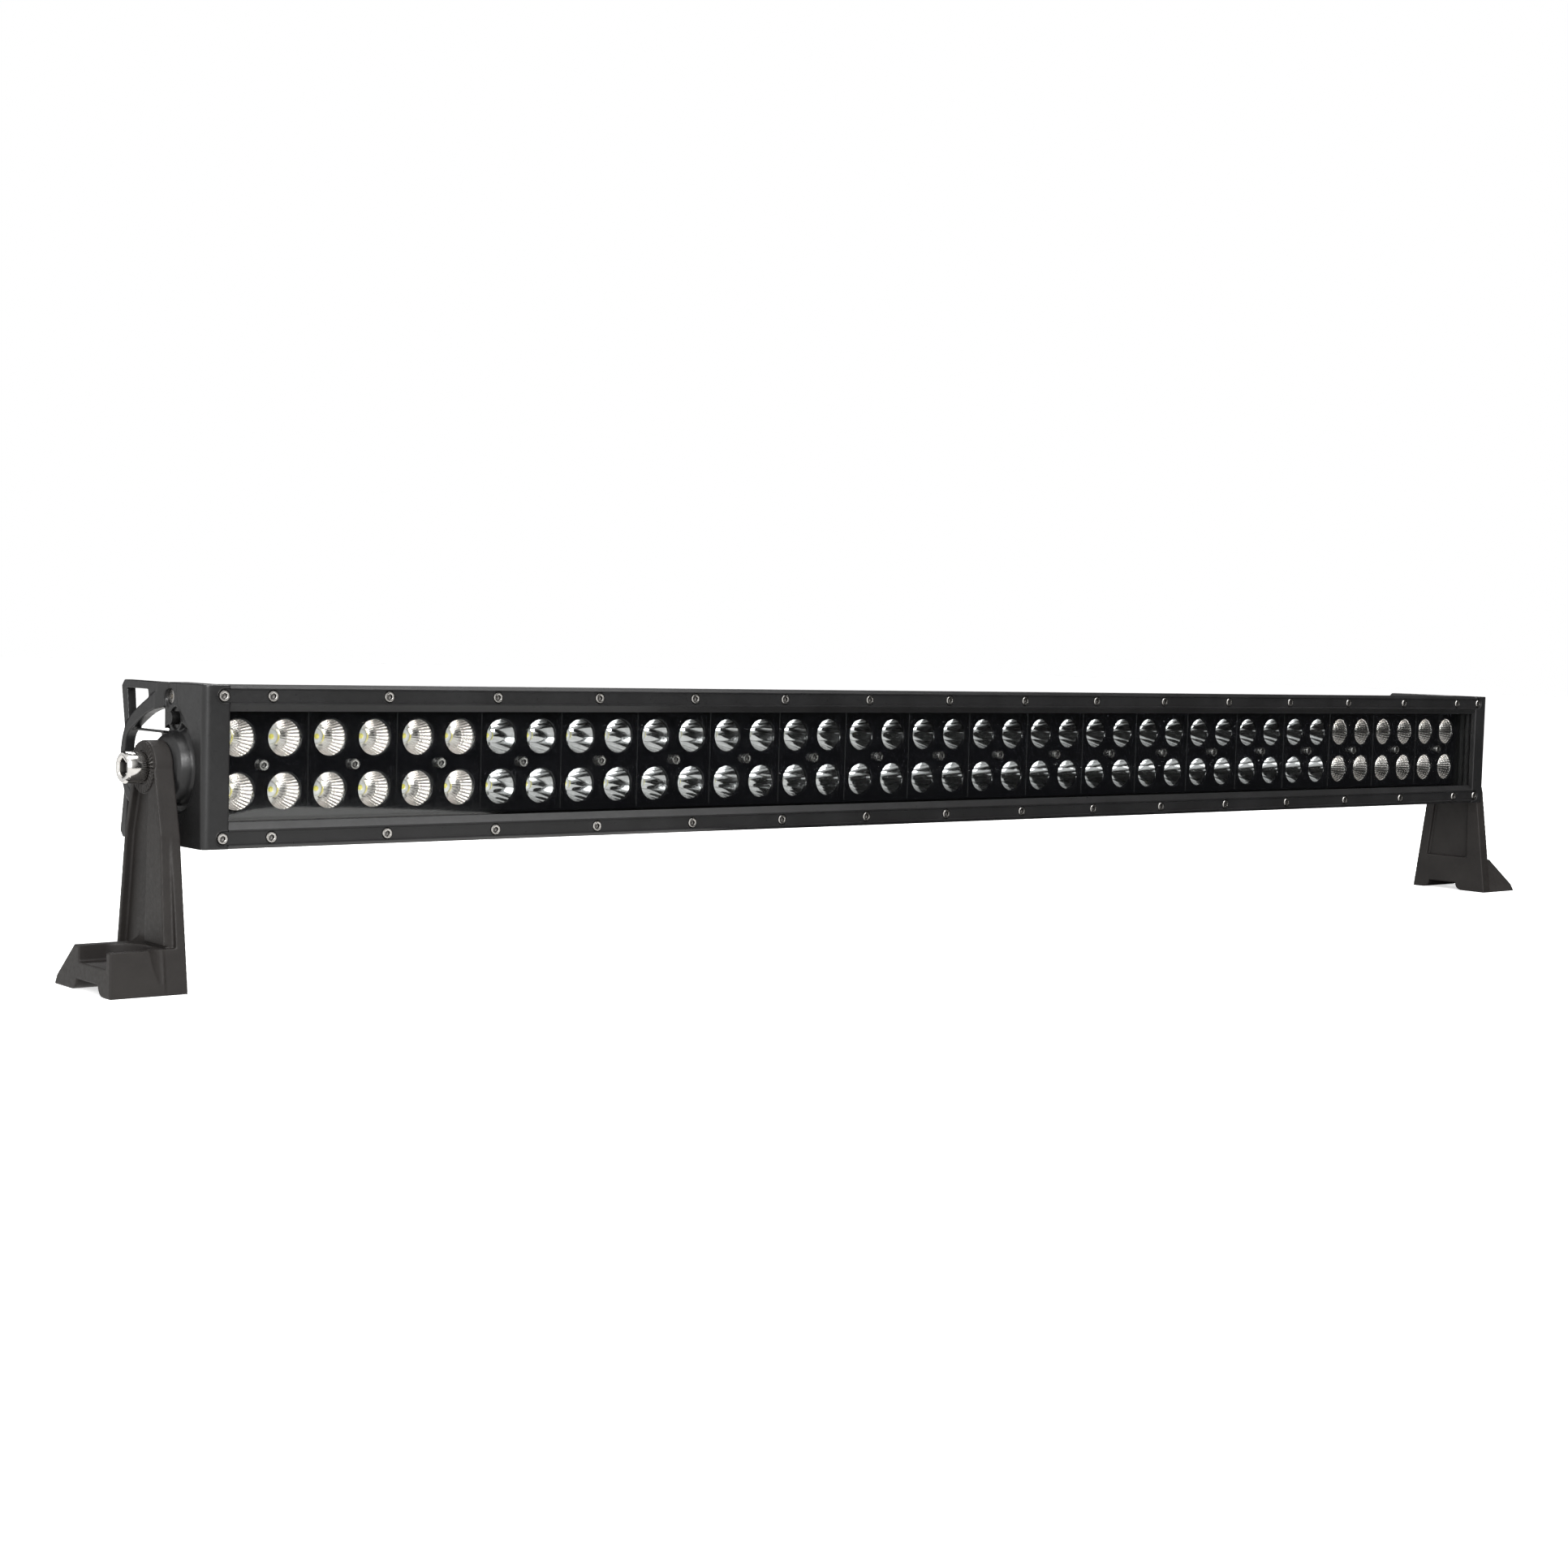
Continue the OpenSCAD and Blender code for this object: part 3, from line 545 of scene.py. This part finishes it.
def cast_copy(node, name, material, body, voxel, flatten=None):
    """The CAD solid with the soft edges that a casting has."""
    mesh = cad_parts[node].data.copy()
    mesh.materials.clear()
    mesh.materials.append(material)
    mesh.name = name
    obj = linked(name, mesh)
    bm = bmesh.new()
    bm.from_mesh(mesh)
    bmesh.ops.remove_doubles(bm, verts=bm.verts, dist=1e-6)
    if flatten:
        for v in bm.verts:
            v.co = flatten(v.co)
    bm.to_mesh(mesh)
    bm.free()
    remesh = obj.modifiers.new("remesh", "REMESH")
    remesh.mode = "VOXEL"
    remesh.voxel_size = voxel * MM
    remesh.use_smooth_shade = True
    soften = obj.modifiers.new("soften", "SMOOTH")
    soften.factor = 0.5
    soften.iterations = SOFTEN_ROUNDS
    final = bpy.data.meshes.new_from_object(
        obj.evaluated_get(bpy.context.evaluated_depsgraph_get()))
    obj.modifiers.clear()
    obj.data = final
    final.shade_smooth()
    declare(obj, body, node)


def without_teeth(side, inner_face):
    """Takes the toothed ring down to the boss, so that a crisper ring can stand on it."""
    def move(co):
        reach = math.hypot(co.y - AXIS.y, co.z - AXIS.z)
        if reach < (RING_OUT + 0.05) * MM and side * co.x > (inner_face + BOSS_T) * MM:
            return Vector((side * (inner_face + BOSS_T) * MM, co.y, co.z))
        return co
    return move


def tooth_ring(side, inner_face):
    """Ring of straight teeth round the bolt, chamfered inside and outside."""
    steps = len(TOOTH_SHAPE)

    def flat_ring(r, height):
        return [(px, height, pz) for px, pz in circle(TEETH * steps, r)]

    def toothed(r, high):
        return [(px, RING_VALLEY + (high - RING_VALLEY) * TOOTH_SHAPE[k % steps], pz)
                for k, (px, pz) in enumerate(circle(TEETH * steps, r))]

    ring = Shape()
    ring.loft(
        [flat_ring(RING_IN, BOSS_T - 0.4), toothed(RING_IN, RING_TOP - 0.25),
         toothed(RING_IN + RING_CHAMFER, RING_TOP - 0.02),
         toothed(RING_OUT - RING_CHAMFER, RING_TOP - 0.02),
         toothed(RING_OUT, RING_TOP - 0.25), flat_ring(RING_OUT, BOSS_T - 0.4)],
        lambda px, d, pz: on_bolt(side, inner_face + d, px, pz), closed=True)
    return ring


for name, side in (("left", -1), ("right", 1)):
    cast_copy(f"end_cap_{name}", f"end_cap_{name}_cast", HOUSING, "light_bar",
              CAP_VOXEL)
    bracket = f"bracket_{name}"
    inner_face = ends_out(side, bracket)[0]
    cast_copy(bracket, f"{bracket}_cast", BRACKET, f"{name}_bracket",
              BRACKET_VOXEL, without_teeth(side, inner_face))
    tooth_ring(side, inner_face).build(
        f"tooth_ring_{name}", [BRACKET], f"{name}_bracket", "black_bracket", bracket, angle=25)

# ---- CAD nodes that keep their shape ---------------------------------------------------------

FINISH = {
    "housing": HOUSING, "top_rail": HOUSING, "bottom_rail": HOUSING, "lens": LENS,
    "lens_gasket": RUBBER, "end_cap_gasket_left": RUBBER, "end_cap_gasket_right": RUBBER,
    "end_cap_screws": STEEL, "tilt_washer_left": POLISHED, "tilt_washer_right": POLISHED,
    "vent_plug_left": NYLON, "vent_plug_right": NYLON, "cable_gland": NYLON, "gland_nut": NYLON,
    "driver_board": GREEN, "driver_components": PARTS,
}
for node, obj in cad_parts.items():
    if obj.hide_render:
        continue
    material = FINISH.get(node, BOARD)
    if not obj.material_slots:
        obj.data.materials.append(material)
    for s in obj.material_slots:
        s.material = material

# ---- stage, light and camera --------------------------------------------------------------------


def stage_plane(name, outline, z):
    """A flat stage piece, not part of the object."""
    mesh = bpy.data.meshes.new(name)
    mesh.from_pydata([(x, y, z) for x, y in outline], [], [tuple(range(len(outline)))])
    obj = linked(name, mesh)
    return obj


def glow(n, colour, strength):
    """An emission shader in a material's nodes."""
    lamp = n.node("ShaderNodeEmission", Strength=strength)
    lamp.inputs["Color"].default_value = (*colour, 1)
    return lamp.outputs["Emission"]


# the floor the camera sees: pale, lifted to white so that only soft shadows show on it
FLOOR_HALF = 9
floor = stage_plane("floor", [(-FLOOR_HALF, -FLOOR_HALF), (FLOOR_HALF, -FLOOR_HALF),
                              (FLOOR_HALF, FLOOR_HALF), (-FLOOR_HALF, FLOOR_HALF)], 0)
floor.visible_glossy = False
pale = Nodes("floor_pale")
pale.set(Roughness=0.9, Specular_IOR_Level=0.0)
pale.feed(Base_Color=pale.ramp(pale.noise(3, 2), [(0.3, 0.86), (0.7, 0.88)]))
lift = pale.node("ShaderNodeAddShader")
seen = pale.node("ShaderNodeMixShader")
pale.link(pale.node("ShaderNodeLightPath").outputs["Is Camera Ray"], seen.inputs["Fac"])
pale.link(pale.bsdf.outputs["BSDF"], lift.inputs[0])
pale.link(glow(pale, (1, 1, 1), 0.62), lift.inputs[1])
pale.link(pale.bsdf.outputs["BSDF"], seen.inputs[1])
pale.link(lift.outputs["Shader"], seen.inputs[2])
pale.link(seen.outputs["Shader"], pale.out.inputs["Surface"])
floor.data.materials.append(pale.mat)

# the sheet whose rounded corner is mirrored in the lower left of the lens
sheet = stage_plane("sheet_mirrored", [
    (-0.25, 0.8), (-2.2, 0.8), (-2.2, -0.96), (-0.12, -0.99), (-0.002, -1.035), (0.05, -1.09),
    (0.093, -1.112), (0.164, -1.077), (0.246, -0.983), (0.16, -0.6), (-0.15, -0.08)], -MM)
sheet.visible_camera = False
sheet.visible_diffuse = False
sheet.visible_shadow = False
white = Nodes("sheet_white")
white.link(glow(white, (1.0, 0.99, 0.97), 1.0), white.out.inputs["Surface"])
sheet.data.materials.append(white.mat)

# the studio's walls: white to the camera, and for all else bright on the left, dark on the right
BRIGHT_SIDE = (-0.80, -0.50, 0.33)
world = bpy.data.worlds.new("studio")
bpy.context.scene.world = world
world.use_nodes = True
wt = world.node_tree
wt.nodes.clear()
w_out = wt.nodes.new("ShaderNodeOutputWorld")
w_mix = wt.nodes.new("ShaderNodeMixShader")
w_seen = wt.nodes.new("ShaderNodeBackground")
w_seen.inputs["Color"].default_value = (1, 1, 1, 1)
w_seen.inputs["Strength"].default_value = 1.0
w_light = wt.nodes.new("ShaderNodeBackground")
w_path = wt.nodes.new("ShaderNodeLightPath")
w_coord = wt.nodes.new("ShaderNodeTexCoord")
w_side = wt.nodes.new("ShaderNodeVectorMath")
w_side.operation = "DOT_PRODUCT"
w_side.inputs[1].default_value = BRIGHT_SIDE
w_ramp = wt.nodes.new("ShaderNodeValToRGB")
for stop, (place, tone) in zip((*w_ramp.color_ramp.elements, w_ramp.color_ramp.elements.new(0.6)),
                               ((0.55, 0.015), (0.92, 3.4), (0.66, 0.75))):
    stop.position = place
    stop.color = (tone, tone, tone * 0.985, 1)
w_map = wt.nodes.new("ShaderNodeMapRange")
w_map.inputs["From Min"].default_value = -1
wt.links.new(w_coord.outputs["Generated"], w_side.inputs[0])
wt.links.new(w_side.outputs["Value"], w_map.inputs["Value"])
wt.links.new(w_map.outputs["Result"], w_ramp.inputs["Fac"])
wt.links.new(w_ramp.outputs["Color"], w_light.inputs["Color"])
wt.links.new(w_path.outputs["Is Camera Ray"], w_mix.inputs["Fac"])
wt.links.new(w_light.outputs[0], w_mix.inputs[1])
wt.links.new(w_seen.outputs[0], w_mix.inputs[2])
wt.links.new(w_mix.outputs[0], w_out.inputs["Surface"])


def softbox(name, place, aim, size, power):
    """Rectangular area light: metres and watts."""
    light = bpy.data.lights.new(name, "AREA")
    light.shape = "RECTANGLE"
    light.size, light.size_y = size
    light.energy = power
    obj = linked(name, light)
    obj.location = place
    obj.rotation_euler = (Vector(aim) - Vector(place)).to_track_quat("-Z", "Y").to_euler()


softbox("key_left", (-1.5, -2.7, 1.2), (-0.3, 0, 0.1), (1.8, 1.6), 62)
softbox("key_front", (-0.9, -2.4, 1.9), (-0.2, 0, 0.1), (1.6, 0.8), 24)
softbox("card_back_left", (-1.7, 1.5, 0.35), (-0.55, 0, 0.1), (1.3, 0.9), 2.9)
softbox("top", (0.1, -0.5, 2.2), (0, 0, 0), (2.6, 1.0), 26)
softbox("back_right", (0.7, 1.7, 2.4), (0, 0, 0.1), (1.8, 0.9), 60)
softbox("fill_right", (2.8, -1.2, 1.6), (0.4, 0, 0.1), (1.0, 1.0), 3)

CAMERA_PLACE = (-1.0605, -1.1219, 0.1800)
HEADING, PITCH, ROLL = math.radians(-39.78), math.radians(3.46), math.radians(1.59)
lens = bpy.data.cameras.new("camera")
lens.sensor_width = 36
lens.lens = 55.9
lens.clip_end = 100
camera = linked("camera", lens)
camera.matrix_world = (
    Matrix.Translation(CAMERA_PLACE)
    @ Matrix.Rotation(HEADING, 4, "Z")
    @ Matrix.Rotation(math.pi / 2 - PITCH, 4, "X")
    @ Matrix.Rotation(ROLL, 4, "Z")
)

scene = bpy.context.scene
scene.camera = camera
scene.view_settings.view_transform = "Standard"
scene.cycles.use_denoising = True
scene.cycles.max_bounces = 14
scene.cycles.glossy_bounces = 8
scene.cycles.transparent_max_bounces = 12
